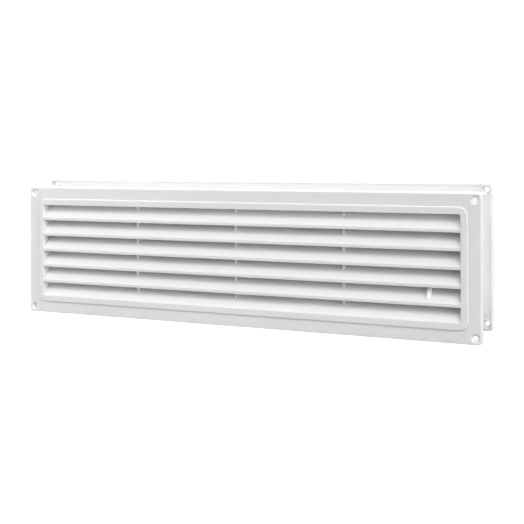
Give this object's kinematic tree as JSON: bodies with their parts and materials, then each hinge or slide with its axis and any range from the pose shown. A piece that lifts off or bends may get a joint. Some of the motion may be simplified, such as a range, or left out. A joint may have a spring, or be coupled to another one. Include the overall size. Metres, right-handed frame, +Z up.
{
  "type": "door vent grille",
  "caption": "Two-sided louvred door vent: telescoping halves clamp the door from both faces, and a sliding shutter with a finger tab closes it.",
  "frame": {"origin": "middle of the footprint, on the surface that both flanges stand on", "axes": "+X along the blades to the viewer's right, -Y out of the front face, +Z up"},
  "size_m": [0.462, 0.04, 0.124],
  "materials": {
    "frame_plastic": "satin white moulded plastic",
    "louvre_plastic": "satin white moulded plastic",
    "rib_plastic": "satin white moulded plastic",
    "shutter_plastic": "satin white moulded plastic",
    "tab_plastic": "satin white moulded plastic",
    "screw_steel": "zinc-plated"
  },
  "bodies": {
    "front": {"front_frame": "frame_plastic", "front_blade_1": "louvre_plastic", "front_blade_2": "louvre_plastic", "front_blade_3": "louvre_plastic", "front_blade_4": "louvre_plastic", "front_blade_5": "louvre_plastic", "front_rib_left": "rib_plastic", "front_rib_centre": "rib_plastic", "front_rib_right": "rib_plastic", "shutter_seat": "shutter_plastic", "shutter_rail_top": "shutter_plastic", "shutter_rail_bottom": "shutter_plastic", "rail_screws": "screw_steel"},
    "rear": {"rear_frame": "frame_plastic", "rear_blade_1": "louvre_plastic", "rear_blade_2": "louvre_plastic", "rear_blade_3": "louvre_plastic", "rear_blade_4": "louvre_plastic", "rear_blade_5": "louvre_plastic", "rear_rib_left": "rib_plastic", "rear_rib_centre": "rib_plastic", "rear_rib_right": "rib_plastic"},
    "shutter": {"shutter_plate": "shutter_plastic", "shutter_tab": "tab_plastic"}
  },
  "joints": [
    {"name": "telescope", "type": "slide", "parent": "front", "child": "rear", "axis": [0, 1, 0], "range_m": [0, 0.014]},
    {"name": "shutter_slide", "type": "slide", "parent": "front", "child": "shutter", "axis": [1, 0, 0], "range_m": [0, 0.0177]}
  ]
}
